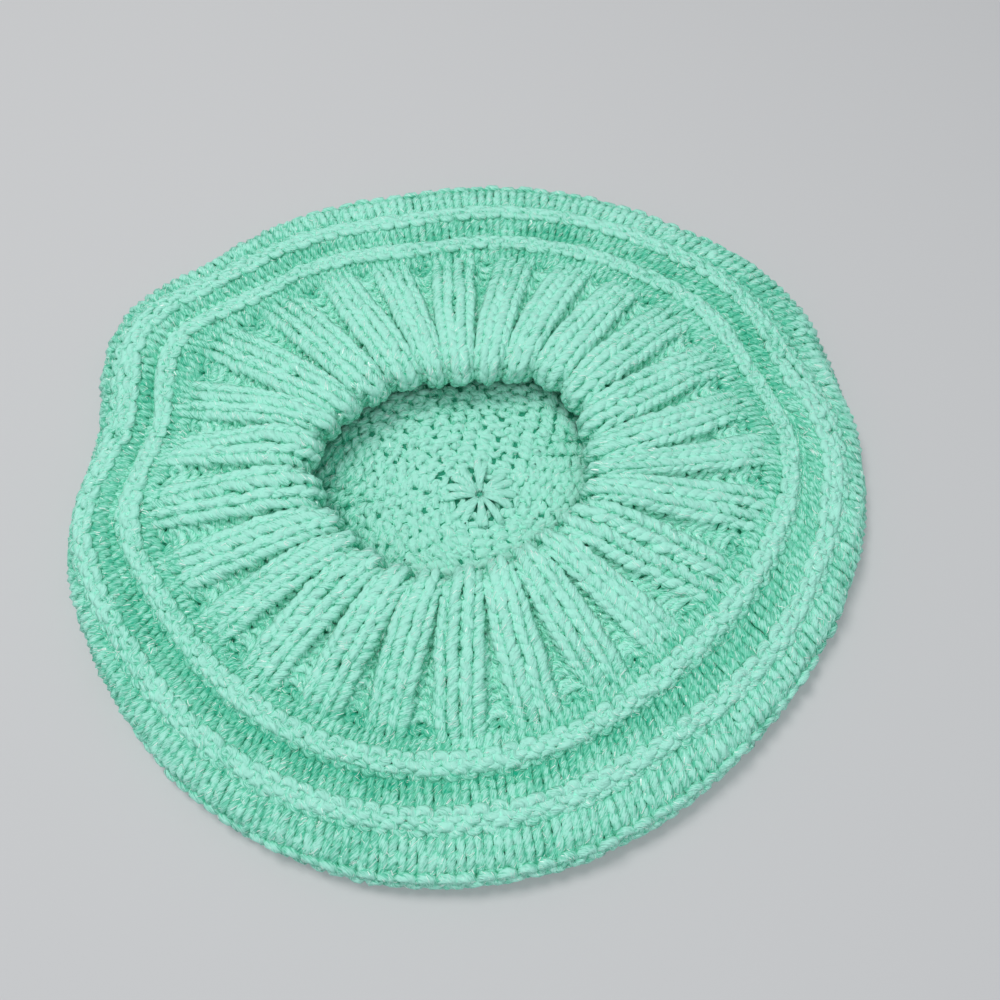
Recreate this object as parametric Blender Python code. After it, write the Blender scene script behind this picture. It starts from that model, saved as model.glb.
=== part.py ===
"""Knit beret lying crown down with its head opening up.

Metres, +Z up through the head opening, the crown's outside flat on z = 0 and the beret's box centred
on the Z axis. Angles are degrees about the hub, the gathered centre of the crown, from +X towards +Y.
The knitting is followed by its course: below 0 under the rim, 0 at the rim, 1 at the foot of the ribs
and 2 at the lip of the head opening.
"""

import math

import bpy
import numpy as np

# Overall sizes, metres
RIM_REACH = 0.1225
MOUTH_REACH = 0.0400
BAND_WIDTH = 0.0390
LIFT = 0.0078

# The knitted wall, the fold it makes at the rim and the gap between sections
WALL = 0.0036
FOLD_RADIUS = 0.0034
SECTION_GAP = 0.0003

# Relief
WELT_SWELL = 0.0023
RIB_HEIGHT = 0.0019
WAVE_LIFT = 0.0016
GATHER_DEPTH = 0.0005
PUCKER_DEPTH = 0.0016

# Counts: gathers round the hub, and meridians over each rib, on the ribs and on the side and the crown
GATHERS = 12
RIB_PHASES = 6
PLAIN_PHASES = 3

# Outline of the rim seen from above
RIM_LOBES = (
    # angle, share of RIM_REACH
    (0, 0.998),
    (20, 1.040),
    (40, 1.092),
    (58, 1.062),
    (90, 1.040),
    (104, 1.036),
    (122, 1.078),
    (138, 1.098),
    (149, 1.152),
    (156, 1.140),
    (170, 1.043),
    (187, 1.048),
    (204, 1.016),
    (228, 0.983),
    (255, 0.952),
    (285, 0.914),
    (308, 0.893),
    (328, 0.908),
    (345, 0.954),
)

# Outline of the head opening seen from above
MOUTH_LOBES = (
    # angle, share of MOUTH_REACH
    (10, 0.85),
    (30, 0.93),
    (47, 1.04),
    (64, 1.09),
    (86, 0.99),
    (104, 0.99),
    (122, 1.08),
    (145, 1.15),
    (160, 1.23),
    (171, 1.30),
    (184, 1.22),
    (200, 1.09),
    (213, 1.01),
    (229, 0.94),
    (242, 0.85),
    (258, 0.76),
    (276, 0.69),
    (300, 0.66),
    (328, 0.69),
    (343, 0.78),
)

# How far the fabric is rolled on round the fold, which brings the welts nearer to the edge
ROLLS = (
    # angle, share of BAND_WIDTH
    (0, 0.18),
    (12, 0.24),
    (28, 0.15),
    (48, 0.05),
    (90, 0.00),
    (120, 0.04),
    (140, 0.20),
    (152, 0.31),
    (165, 0.34),
    (182, 0.32),
    (200, 0.17),
    (225, 0.08),
    (270, 0.00),
    (320, 0.03),
    (345, 0.10),
)

# Height that the upper layer gains over the fold
RISES = (
    # course, share of LIFT
    (0.00, 0.00),
    (0.13, 0.00),
    (0.51, 0.16),
    (1.00, 0.32),
    (1.36, 0.70),
    (1.70, 1.00),
    (1.90, 0.97),
    (2.00, 0.67),
)
# Course by which the upper layer has its whole rise, as a share of BAND_WIDTH from the fold
RISE_FROM_FOLD = 0.31

# Soft waves of the upper layer
WAVES = (
    # name, angle, spread in degrees, course, spread in courses, share of WAVE_LIFT
    ("far_left_peak", 150, 9, 0.26, 0.36, 1.00),
    ("left_swell", 188, 16, 0.36, 0.31, 0.50),
    ("right_fold", 17, 7, 0.67, 0.18, 0.90),
    ("right_crease", 17, 8, 0.36, 0.12, -0.60),
    ("seam_pucker", 335, 10, 0.92, 0.22, 0.75),
    ("near_left_dip", 212, 9, 0.92, 0.18, -0.75),
    ("mouth_left", 165, 22, 1.88, 0.27, 1.00),
    ("mouth_right", 345, 24, 1.88, 0.27, 0.75),
    ("mouth_far", 70, 20, 1.88, 0.27, -0.45),
    ("mouth_near", 250, 24, 1.88, 0.27, 0.25),
)

# Outer face of the side from its edge under the crown to the foot of the ribs
TUCK_COURSE = -0.23
SIDE_ROWS = (
    # name, course, share of WELT_SWELL
    ("tuck_edge", TUCK_COURSE, 0.0),
    ("tuck", -0.155, 0.0),
    ("under", -0.082, 0.0),
    ("rim_low", -0.026, 0.13),
    ("rim_ridge", 0.026, 0.30),
    ("rim_high", 0.082, 0.13),
    ("band_a", 0.144, 0.0),
    ("band_b", 0.21, 0.0),
    ("band_c", 0.28, 0.0),
    ("band_d", 0.35, 0.0),
    ("outer_welt_foot", 0.395, 0.08),
    ("outer_welt_side", 0.436, 0.74),
    ("outer_welt_crest", 0.482, 1.0),
    ("outer_welt_fall", 0.528, 0.65),
    ("groove_a", 0.57, -0.08),
    ("groove_b", 0.645, -0.13),
    ("groove_c", 0.718, -0.08),
    ("inner_welt_side", 0.764, 0.65),
    ("inner_welt_crest", 0.81, 0.91),
    ("inner_welt_fall", 0.862, 0.56),
    ("rib_foot", 0.913, 0.0),
    ("side_end", 1.0, 0.0),
)
# Inner face of the side, from the foot of the ribs back to the edge
SIDE_INNER_COURSES = (1.0, 0.846, 0.692, 0.538, 0.385, 0.256, 0.167, 0.09, 0.026, -0.038, -0.128, TUCK_COURSE)

# Outer face of the ribbed band, from its foot to the lip that curls into the head opening
RIB_ROWS = (
    # name, course, share of RIB_HEIGHT, lowering as a share of WALL
    ("band_foot", 1.0, 0.16, 0.0),
    ("rib_start", 1.10, 0.58, 0.0),
    ("rib_low", 1.26, 0.90, 0.0),
    ("rib_middle", 1.48, 1.0, 0.0),
    ("rib_high", 1.70, 1.0, 0.0),
    ("knuckle_back", 1.86, 0.95, 0.0),
    ("knuckle_top", 1.95, 0.90, 0.08),
    ("lip", 2.0, 0.68, 0.36),
)
# Inner face of the ribbed band, back from the lip
RIB_INNER_ROWS = (
    # course, share of RIB_HEIGHT
    (1.97, 0.63),
    (1.86, 0.84),
    (1.64, 0.90),
    (1.42, 0.90),
    (1.20, 0.74),
    (1.0, 0.16),
)
# Height over one rib from its valley to its crest and back, one share of RIB_HEIGHT for each phase
RIB_SHAPE = (-1.0, -0.10, 0.72, 1.0, 0.72, -0.10)

# Valleys between the ribs; the seam runs through the widest rib, between the last two
VALLEYS = (
    # angle at the foot, how far it turns on its way to the lip, degrees
    (3.0, -2.0),
    (14.0, -5.0),
    (25.3, -2.5),
    (38.0, 1.0),
    (51.5, 1.5),
    (63.0, 5.0),
    (75.5, 5.0),
    (88.5, 4.5),
    (104.3, 1.0),
    (116.7, -1.5),
    (127.6, 1.5),
    (141.4, 1.0),
    (155.2, -1.5),
    (168.0, -6.5),
    (177.5, -2.0),
    (191.0, -1.0),
    (204.3, -2.5),
    (217.0, -5.5),
    (230.5, -4.5),
    (244.8, -6.0),
    (258.3, -5.0),
    (275.0, -2.5),
    (292.5, -2.5),
    (310.0, 0.0),
    (326.0, -2.0),
    (346.5, 3.0),
)

# Inside of the crown from the ring round the gathered centre to the crown's edge
CROWN_ROWS = (
    # share of the reach, height over the wall as a share of WALL, share of GATHER_DEPTH
    (0.022, -0.25, 0.7),
    (0.055, 0.03, 1.0),
    (0.095, 0.11, 0.6),
    (0.16, 0.03, 0.2),
    (0.30, -0.05, 0.0),
    (0.48, 0.03, 0.0),
    (0.66, 0.0, 0.0),
    (0.84, 0.03, 0.0),
    (1.0, 0.0, 0.0),
)

YARN = (0.262, 0.610, 0.474, 1.0)
YARN_ROUGHNESS = 0.86

# Step in courses over which the fabric's direction is read
TANGENT_STEP = 0.01


def around(table, angle):
    """The value of a table of (angle, value) rows at any angle, smooth all the way round."""
    at = np.array([row[0] for row in table], float)
    value = np.array([row[1] for row in table], float)
    at = np.concatenate([at - 360.0, at, at + 360.0])
    value = np.tile(value, 3)
    slope = np.zeros(len(at))
    slope[1:-1] = (value[2:] - value[:-2]) / (at[2:] - at[:-2])
    turned = np.asarray(angle, float) % 360.0
    i = np.searchsorted(at, turned, side="right") - 1
    step = at[i + 1] - at[i]
    t = (turned - at[i]) / step
    start = (2 * t**3 - 3 * t**2 + 1) * value[i] + (t**3 - 2 * t**2 + t) * step * slope[i]
    end = (3 * t**2 - 2 * t**3) * value[i + 1] + (t**3 - t**2) * step * slope[i + 1]
    return start + end


def eased(share):
    share = np.clip(share, 0.0, 1.0)
    return share * share * (3 - 2 * share)


def fabric(course, angle):
    """Reach from the hub and height of the middle of the knitted wall."""
    course = np.asarray(course, float)
    rim = RIM_REACH * around(RIM_LOBES, angle)
    mouth = MOUTH_REACH * around(MOUTH_LOBES, angle)
    side_end = BAND_WIDTH * (1 - around(ROLLS, angle))
    on_side = side_end + BAND_WIDTH * (course - 1)
    on_ribs = side_end + (rim - mouth - side_end) * (course - 1)
    run = np.where(course <= 1, on_side, on_ribs)
    quarter = math.pi / 2
    bend = np.clip(run / FOLD_RADIUS, -quarter, quarter)
    turned_in = WALL / 2 + FOLD_RADIUS * (1 - np.cos(bend))
    beyond = np.maximum(np.abs(run) - quarter * FOLD_RADIUS, 0.0)
    height = WALL / 2 + FOLD_RADIUS * (1 + np.sin(bend))
    rise = LIFT * np.interp(course, [row[0] for row in RISES], [row[1] for row in RISES])
    for _, centre, spread, at, width, share in WAVES:
        off = (angle - centre + 180.0) % 360.0 - 180.0
        rise = rise + share * WAVE_LIFT * np.exp(-((off / spread) ** 2) - ((course - at) / width) ** 2)
    return rim - turned_in - beyond, height + rise * eased(run / (RISE_FROM_FOLD * BAND_WIDTH))


def face_points(courses, offsets, angle):
    """Points of one meridian, offset square to the fabric and out through its outer face.

    angle is one for the whole meridian, or one for each course.
    """
    courses = np.asarray(courses, float)
    ahead = fabric(courses + TANGENT_STEP, angle)
    behind = fabric(courses - TANGENT_STEP, angle)
    reach, height = fabric(courses, angle)
    along = np.stack([ahead[0] - behind[0], ahead[1] - behind[1]])
    along = along / np.hypot(along[0], along[1])
    reach = reach + along[1] * offsets
    height = height - along[0] * offsets
    turn = np.radians(angle)
    return np.stack([reach * np.cos(turn), reach * np.sin(turn), np.maximum(height, 0.0)], axis=1)


def side_meridian(angle):
    end = 1 - SECTION_GAP / BAND_WIDTH
    outer_at = np.minimum([row[1] for row in SIDE_ROWS], end)
    inner_at = np.minimum(SIDE_INNER_COURSES, end)
    swell = WELT_SWELL * np.array([row[2] for row in SIDE_ROWS])
    outer = face_points(outer_at, WALL / 2 + swell, angle)
    inner = face_points(inner_at, -WALL / 2, angle)
    return np.concatenate([outer, inner])


def rib_meridian(angle, lean, shape):
    start = 1 + SECTION_GAP / (RIM_REACH - MOUTH_REACH - BAND_WIDTH)
    outer_at = np.maximum([row[1] for row in RIB_ROWS], start)
    inner_at = np.maximum([row[0] for row in RIB_INNER_ROWS], start)
    outer_lift = RIB_HEIGHT * shape * np.array([row[2] for row in RIB_ROWS])
    inner_lift = RIB_HEIGHT * shape * np.array([row[1] for row in RIB_INNER_ROWS])
    lowered = WALL * np.array([row[3] for row in RIB_ROWS])
    outer = face_points(outer_at, WALL / 2 + outer_lift - lowered, angle + lean * (outer_at - 1))
    inner = face_points(inner_at, -WALL / 2 + inner_lift, angle + lean * (inner_at - 1))
    return np.concatenate([outer, inner])


def make_piece(name, points, faces, hub, material):
    mesh = bpy.data.meshes.new(name)
    mesh.from_pydata([tuple(point) for point in points + hub], [], faces)
    mesh.materials.append(material)
    mesh.validate()
    mesh.update()
    mesh.shade_smooth()
    bpy.context.scene.collection.objects.link(bpy.data.objects.new(name, mesh))


def ring_faces(meridians):
    """Faces of a closed ring whose meridians all have the same number of points."""
    count = len(meridians[0])
    faces = []
    for i in range(len(meridians)):
        here = i * count
        there = (i + 1) % len(meridians) * count
        for j in range(count):
            k = (j + 1) % count
            faces.append((here + j, there + j, there + k, here + k))
    return faces


def crown_shape(angles):
    """Rings on the crown's inside, its edge and one flat face below."""
    count = len(angles)
    edge_course = TUCK_COURSE - SECTION_GAP / BAND_WIDTH
    edge_reach = [float(fabric(edge_course, angle)[0]) for angle in angles]
    points = [(0.0, 0.0, WALL - PUCKER_DEPTH)]
    for share, height, depth in CROWN_ROWS:
        for angle, reach in zip(angles, edge_reach):
            turn = math.radians(angle)
            gather = depth * GATHER_DEPTH * math.cos(GATHERS * turn)
            top = WALL * (1 + height) + gather
            points.append((share * reach * math.cos(turn), share * reach * math.sin(turn), top))
    for angle, reach in zip(angles, edge_reach):
        turn = math.radians(angle)
        points.append((reach * math.cos(turn), reach * math.sin(turn), 0.0))
    points.append((0.0, 0.0, 0.0))
    last = len(points) - 1
    edge_ring = 1 + len(CROWN_ROWS) * count
    faces = []
    for i in range(count):
        k = (i + 1) % count
        faces.append((0, 1 + i, 1 + k))
        for ring in range(len(CROWN_ROWS)):
            near = 1 + ring * count
            far = near + count
            faces.append((near + i, far + i, far + k, near + k))
        faces.append((edge_ring + i, last, edge_ring + k))
    return np.array(points), faces


def yarn(name):
    material = bpy.data.materials.new(name)
    material.use_nodes = True
    shader = material.node_tree.nodes["Principled BSDF"]
    shader.inputs["Base Color"].default_value = YARN
    shader.inputs["Roughness"].default_value = YARN_ROUGHNESS
    shader.inputs["Metallic"].default_value = 0.0
    material.diffuse_color = YARN
    return material


for old in list(bpy.data.objects):
    bpy.data.objects.remove(old, do_unlink=True)

rib_angles = []
rib_leans = []
for i, (angle, lean) in enumerate(VALLEYS):
    next_angle, next_lean = VALLEYS[(i + 1) % len(VALLEYS)]
    width = (next_angle - angle) % 360.0
    for phase in range(RIB_PHASES):
        share = phase / RIB_PHASES
        rib_angles.append(angle + width * share)
        rib_leans.append(lean + (next_lean - lean) * share)
plain_angles = rib_angles[::RIB_PHASES // PLAIN_PHASES]

side = [side_meridian(angle) for angle in plain_angles]
ribs = [
    rib_meridian(angle, lean, RIB_SHAPE[i % RIB_PHASES])
    for i, (angle, lean) in enumerate(zip(rib_angles, rib_leans))
]
crown_points, crown_faces = crown_shape(plain_angles)

side_points = np.concatenate(side)
hub_place = -(side_points.min(axis=0) + side_points.max(axis=0)) / 2
hub_place[2] = 0.0

make_piece("crown", crown_points, crown_faces, hub_place, yarn("crown_yarn"))
make_piece("side", side_points, ring_faces(side), hub_place, yarn("side_yarn"))
make_piece("ribbed_band", np.concatenate(ribs), ring_faces(ribs), hub_place, yarn("rib_yarn"))
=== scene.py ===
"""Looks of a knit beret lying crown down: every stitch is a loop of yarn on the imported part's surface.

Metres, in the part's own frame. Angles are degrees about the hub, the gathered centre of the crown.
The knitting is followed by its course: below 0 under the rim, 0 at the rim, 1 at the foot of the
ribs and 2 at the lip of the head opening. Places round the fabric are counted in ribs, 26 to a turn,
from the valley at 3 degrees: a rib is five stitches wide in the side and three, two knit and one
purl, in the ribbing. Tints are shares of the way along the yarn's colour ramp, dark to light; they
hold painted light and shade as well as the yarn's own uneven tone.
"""

import math
import bpy
import numpy as np
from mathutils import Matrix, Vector


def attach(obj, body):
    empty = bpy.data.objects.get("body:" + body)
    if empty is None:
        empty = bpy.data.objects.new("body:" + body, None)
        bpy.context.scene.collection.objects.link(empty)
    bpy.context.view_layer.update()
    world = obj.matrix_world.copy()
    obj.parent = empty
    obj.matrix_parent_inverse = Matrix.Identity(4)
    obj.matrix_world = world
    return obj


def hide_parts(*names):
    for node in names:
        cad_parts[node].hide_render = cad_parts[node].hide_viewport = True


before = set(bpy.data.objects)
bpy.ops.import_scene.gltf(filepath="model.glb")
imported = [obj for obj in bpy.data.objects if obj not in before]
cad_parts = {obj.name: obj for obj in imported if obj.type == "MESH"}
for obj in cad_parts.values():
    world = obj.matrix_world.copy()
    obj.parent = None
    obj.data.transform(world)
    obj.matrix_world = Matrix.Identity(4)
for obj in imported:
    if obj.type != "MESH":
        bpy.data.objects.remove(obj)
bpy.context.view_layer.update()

rng = np.random.default_rng(41)

# The surface of the part, the same sizes and tables as its solids
RIM_REACH = 0.1225
MOUTH_REACH = 0.0400
BAND_WIDTH = 0.0390
LIFT = 0.0078
WALL = 0.0036
FOLD_RADIUS = 0.0034
WAVE_LIFT = 0.0016
HUB = np.array([0.00244968, -0.00640093, 0.0])

# Angle, then reach as a share of RIM_REACH or MOUTH_REACH
RIM_LOBES = (
    (0, 0.998), (20, 1.040), (40, 1.092), (58, 1.062), (90, 1.040), (104, 1.036), (122, 1.078),
    (138, 1.098), (149, 1.152), (156, 1.140), (170, 1.043), (187, 1.048), (204, 1.016), (228, 0.983),
    (255, 0.952), (285, 0.914), (308, 0.893), (328, 0.908), (345, 0.954),
)
MOUTH_LOBES = (
    (10, 0.85), (30, 0.93), (47, 1.04), (64, 1.09), (86, 0.99), (104, 0.99), (122, 1.08),
    (145, 1.15), (160, 1.23), (171, 1.30), (184, 1.22), (200, 1.09), (213, 1.01), (229, 0.94),
    (242, 0.85), (258, 0.76), (276, 0.69), (300, 0.66), (328, 0.69), (343, 0.78),
)
# Angle, share of the band's width that is rolled under
ROLLS = (
    (0, 0.18), (12, 0.24), (28, 0.15), (48, 0.05), (90, 0.00), (120, 0.04), (140, 0.20), (152, 0.31),
    (165, 0.34), (182, 0.32), (200, 0.17), (225, 0.08), (270, 0.00), (320, 0.03), (345, 0.10),
)
# Course, share of LIFT that the fabric has risen there
RISES = (
    (0.00, 0.00), (0.13, 0.00), (0.51, 0.16), (1.00, 0.32), (1.36, 0.70), (1.70, 1.00), (1.90, 0.97),
    (2.00, 0.67),
)
RISE_FROM_FOLD = 0.31
WAVES = (
    # angle, spread in degrees, course, spread in courses, share of WAVE_LIFT
    (150, 9, 0.26, 0.36, 1.00),
    (188, 16, 0.36, 0.31, 0.50),
    (17, 7, 0.67, 0.18, 0.90),
    (17, 8, 0.36, 0.12, -0.60),
    (335, 10, 0.92, 0.22, 0.75),
    (212, 9, 0.92, 0.18, -0.75),
    (165, 22, 1.88, 0.27, 1.00),
    (345, 24, 1.88, 0.27, 0.75),
    (70, 20, 1.88, 0.27, -0.45),
    (250, 24, 1.88, 0.27, 0.25),
)
VALLEYS = (
    # angle at the foot, how far it turns on its way to the lip, degrees
    (3.0, -2.0), (14.0, -5.0), (25.3, -2.5), (38.0, 1.0), (51.5, 1.5), (63.0, 5.0), (75.5, 5.0),
    (88.5, 4.5), (104.3, 1.0), (116.7, -1.5), (127.6, 1.5), (141.4, 1.0), (155.2, -1.5),
    (168.0, -6.5), (177.5, -2.0), (191.0, -1.0), (204.3, -2.5), (217.0, -5.5), (230.5, -4.5),
    (244.8, -6.0), (258.3, -5.0), (275.0, -2.5), (292.5, -2.5), (310.0, 0.0), (326.0, -2.0),
    (346.5, 3.0),
)
TUCK_COURSE = -0.23
# Where the rows are drawn inward and the rim is pulled in
DRIFTS = (
    # angle, drift of the groove and of the ribs' feet in courses, pull of the rim in metres
    (0, 0.09, 0.05, 0.0),
    (14, 0.20, 0.12, 0.0),
    (22, 0.27, 0.15, 0.0),
    (30, 0.22, 0.17, 0.0),
    (40, 0.15, 0.12, 0.0),
    (55, 0.04, 0.03, 0.0),
    (75, 0.00, 0.00, 0.0),
    (120, 0.02, 0.00, 0.0),
    (138, 0.12, 0.08, 0.0),
    (150, 0.23, 0.17, 0.0005),
    (164, 0.30, 0.20, 0.0025),
    (175, 0.18, 0.09, 0.0028),
    (186, 0.06, 0.03, 0.0008),
    (200, 0.00, 0.00, 0.0),
    (300, 0.00, 0.00, 0.0),
    (320, -0.04, 0.00, 0.0),
    (331, -0.06, 0.00, 0.0),
    (343, 0.00, 0.02, 0.0),
)
# Courses over which the drift grows from the rim, passes to that of the feet, and fades along the ribs
DRIFT_GROWS = (0.05, 0.55)
DRIFT_TURNS = (0.48, 0.84)
DRIFT_FADES = (1.00, 1.85)
RIM_PULL_FADES = (0.10, 0.60)

# Stitches
RIBS = len(VALLEYS)
SIDE_STITCHES = 5
RIB_STITCHES = 3
LOOP_SAMPLES = 12
YARN_SIDES = 6
YARN_DEEP = 0.00138
LEG_SHARE = 0.262
LEG_BASE = 0.00010
LEG_MOST = 0.00165
KNIT_OVERLAP = 0.00130
PURL_REACH = 0.84
PURL_LEAN = 0.29
# Kinds of knitting: lean of the legs, depth of the loops, half width and half depth of a bend
BAND = {"lean": 0.19, "depth": 0.00095, "wide": 0.00150, "deep": YARN_DEEP}
WELT = {"lean": 0.20, "depth": 0.00100, "wide": 0.00148, "deep": 0.00128}
RIBBING = {"lean": 0.225, "depth": 0.00085, "wide": 0.00152, "deep": 0.00148, "uneven": 1.3}
RIB_FOOT = dict(RIBBING, reach=1.30)
CROWN = {"lean": 0.215, "depth": 0.00110, "wide": 0.00170, "deep": 0.00125, "uneven": 1.5, "leg": 0.31}
# Painted light and shade: the yarn's side facing out of the fabric and loops pushed out are drawn lighter,
# the side facing in and loops pushed in darker
OUTER_PAINTED_LIGHT = 0.34
RAISED_PAINTED_LIGHT = 0.25
# Painted shade: the fabric is drawn lighter where it stands out and darker in its valleys
RELIEF_PAINTED_SHADE = 0.13
# Painted shade and light of the yarn from the rim to the lip: darker under the rim, in the grooves, at the
# ribs' feet and at the lip, lighter on the welts and along the ribs
PAINTED_SHADE_BY_COURSE = (
    # course, tint on the near side, tint elsewhere
    (-0.20, -0.08, -0.08),
    (0.05, 0.01, 0.03),
    (0.20, -0.08, 0.00),
    (0.32, -0.06, 0.01),
    (0.44, 0.03, 0.06),
    (0.52, -0.10, -0.15),
    (0.56, -0.17, -0.29),
    (0.60, -0.25, -0.18),
    (0.64, -0.25, -0.08),
    (0.69, -0.25, -0.04),
    (0.76, -0.01, 0.03),
    (0.82, 0.04, 0.06),
    (0.88, -0.04, -0.08),
    (0.92, -0.12, -0.20),
    (0.96, -0.12, -0.09),
    (1.00, -0.11, -0.05),
    (1.10, 0.02, 0.02),
    (1.30, 0.05, 0.05),
    (1.70, 0.09, 0.09),
    (1.90, 0.11, 0.11),
    (2.05, -0.10, -0.10),
)
# How much of the near side's painted shade there is: angle, share
NEAR_SIDE = (
    (0, 0.25), (60, 0.20), (100, 0.25), (150, 0.10), (185, 0.10), (205, 0.50), (230, 1.00),
    (300, 1.00), (330, 0.50),
)
STITCH_TINT = 0.03
ROW_TINT = 0.02
# Unevenness of the yarn and of the loops, as shares
LUMPS = 0.055
THICK_NOISE = 0.045
TALL_NOISE = 0.06
LEAN_NOISE = 0.12
PLACE_NOISE = 0.05
DEPTH_NOISE = 0.10
DEPTH_NOISE_BASE = 0.00012
BEND_SHARE = 0.26
BEND_BASE = 0.00025
# A purl loop's bends stand forward like bricks: how sharply they do, and how far along the loop
BRICK_SHARP = 2.2
BRICK_OFFSET = 0.30
# How much closer together a loop's samples lie round its bends
BEND_CLOSER = 0.22
# Share of half a stitch over which one kind of stitch passes to the next
KIND_EASE = 0.38
# Yarn below FLOOR_LAYER is squashed toward the floor, and none is below FLOOR_GAP
FLOOR_SQUASH = 0.60
FLOOR_LAYER = 0.0010
FLOOR_GAP = 0.0001

# How many stitches a whole turn would have at the rim, by angle
RIM_DENSITY = (
    (20, 127), (40, 121), (80, 125), (100, 124), (130, 132), (175, 124), (220, 140), (250, 133),
    (270, 127), (300, 113), (340, 114),
)

# Courses over which the rim's even stitches come in line with the ribs
LINED_UP = (0.05, 1.00)

# Rows of the side
SIDE_ROWS = (
    # course, then how feet and heads lie: 1 behind the legs as in a knit row, -1 before them as in purl
    (-0.175, 1, 1), (-0.0875, 1, -1), (0.000, -0.4, -1), (0.082, -1, 1), (0.165, 1, 1), (0.247, 1, 1),
    (0.330, 1, -1), (0.408, -0.4, -1), (0.485, -1, 1), (0.563, 1, 1), (0.635, 1, 1), (0.705, 1, -1),
    (0.780, -0.4, -1), (0.860, -1, 1), (0.945, 1, 1),
)
RIB_ROWS = 16
FIRST_RIB_COURSE = 1.005
LAST_RIB_COURSE = 1.985
LIP_BEND = 1.895
LIP_BEND_SPREAD = 0.045
RUN_PER_COURSE = 0.043
# Swell of the side: name, course, spread in courses, height in metres
SWELLS = (
    ("rim", 0.030, 0.060, 0.0005),
    ("outer_band", 0.260, 0.120, 0.0006),
    ("outer_welt", 0.452, 0.088, 0.0018),
    ("inner_welt", 0.812, 0.080, 0.0018),
    ("groove", 0.630, 0.055, -0.0010),
)
# Over one rib: share of its width from the valley, height as a share of the rib's height
RIB_SHAPE = (
    (0.0, -1.1), (0.08, -1.05), (0.145, -0.35), (0.20, 0.55), (0.27, 0.92), (0.37, 1.02),
    (0.45, 0.98), (0.5, 0.86),
)
RIB_HEIGHT = 0.0023
LIP_SCALLOP = 0.0025
LIP_SCALLOP_GROWS = (1.72, 2.00)
KNUCKLE_ROUND = 3.2
KNUCKLE_DEPTH = 2.3
KNUCKLE_GROWS = (1.80, 2.00)
# Share of the ribs' relief that turns the yarn's normals
NORMAL_SHARE = 0.30
# Along a rib: course, share of RIB_HEIGHT, how far the purl columns are squeezed, lowering in metres
RIB_RUN = (
    (0.93, 0.00, 0.00, 0.0),
    (1.00, 0.25, -0.10, 0.0),
    (1.08, 0.62, -0.05, 0.0),
    (1.26, 0.86, 0.14, 0.0),
    (1.48, 1.08, 0.42, 0.0),
    (1.70, 1.25, 0.66, 0.0),
    (1.86, 1.38, 0.76, 0.0001),
    (1.95, 1.34, 0.78, 0.0008),
    (2.00, 1.15, 0.78, 0.0020),
)
# How far apart, in courses, the places lie that a table's corners are rounded over
TABLE_SPREAD = 0.02


def around(table, angle):
    """The value of a table of (angle, value) rows at any angle, smooth all the way round."""
    at = np.array([row[0] for row in table], float)
    value = np.array([row[1] for row in table], float)
    at = np.concatenate([at - 360.0, at, at + 360.0])
    value = np.tile(value, 3)
    slope = np.zeros(len(at))
    slope[1:-1] = (value[2:] - value[:-2]) / (at[2:] - at[:-2])
    turned = np.asarray(angle, float) % 360.0
    i = np.searchsorted(at, turned, side="right") - 1
    step = at[i + 1] - at[i]
    t = (turned - at[i]) / step
    start = (2 * t**3 - 3 * t**2 + 1) * value[i] + (t**3 - 2 * t**2 + t) * step * slope[i]
    end = (3 * t**2 - 2 * t**3) * value[i + 1] + (t**3 - t**2) * step * slope[i + 1]
    return start + end


def eased(share):
    share = np.clip(share, 0.0, 1.0)
    return share * share * (3 - 2 * share)


def eased_over(courses, course):
    """From 0 to 1 between two courses."""
    return eased((course - courses[0]) / (courses[1] - courses[0]))


def smooth_table(table, column, at):
    """A table's column at any place, with rounded corners."""
    places = [row[0] for row in table]
    values = [row[column] for row in table]
    near = [np.interp(at + shift * TABLE_SPREAD, places, values) for shift in (-1.5, -0.5, 0.5, 1.5)]
    return sum(near) / len(near)


def fabric(course, angle):
    """Reach from the hub and height of the middle of the knitted wall."""
    rim = RIM_REACH * around(RIM_LOBES, angle)
    mouth = MOUTH_REACH * around(MOUTH_LOBES, angle)
    side_end = BAND_WIDTH * (1 - around(ROLLS, angle))
    on_side = side_end + BAND_WIDTH * (course - 1)
    on_ribs = side_end + (rim - mouth - side_end) * (course - 1)
    run = np.where(course <= 1, on_side, on_ribs)
    quarter = math.pi / 2
    bend = np.clip(run / FOLD_RADIUS, -quarter, quarter)
    turned_in = WALL / 2 + FOLD_RADIUS * (1 - np.cos(bend))
    beyond = np.maximum(np.abs(run) - quarter * FOLD_RADIUS, 0.0)
    height = WALL / 2 + FOLD_RADIUS * (1 + np.sin(bend))
    rise = LIFT * np.interp(course, [row[0] for row in RISES], [row[1] for row in RISES])
    for centre, spread, at, width, share in WAVES:
        off = (angle - centre + 180.0) % 360.0 - 180.0
        rise = rise + share * WAVE_LIFT * np.exp(-((off / spread) ** 2) - ((course - at) / width) ** 2)
    return rim - turned_in - beyond, height + rise * eased(run / (RISE_FROM_FOLD * BAND_WIDTH))


def rib_place(at):
    """The rib that a place is in, its whole turns round, and the share of the rib from its valley."""
    whole = np.floor(at)
    return np.mod(whole, RIBS).astype(int), np.floor(at / RIBS), at - whole


VALLEY_ANGLES = np.array([row[0] for row in VALLEYS])
VALLEY_LEANS = np.array([row[1] for row in VALLEYS])
WIDTHS = (np.roll(VALLEY_ANGLES, -1) - VALLEY_ANGLES) % 360.0
LEAN_GAINS = np.roll(VALLEY_LEANS, -1) - VALLEY_LEANS


def rib_angle(at, squeeze, course):
    rib, turns, share = rib_place(at)
    share = share - squeeze * np.sin(2 * math.pi * share) / (2 * math.pi)
    turned = (VALLEY_LEANS[rib] + LEAN_GAINS[rib] * share) * np.maximum(course - 1, 0)
    return VALLEY_ANGLES[rib] + WIDTHS[rib] * share + turned + 360.0 * turns


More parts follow.
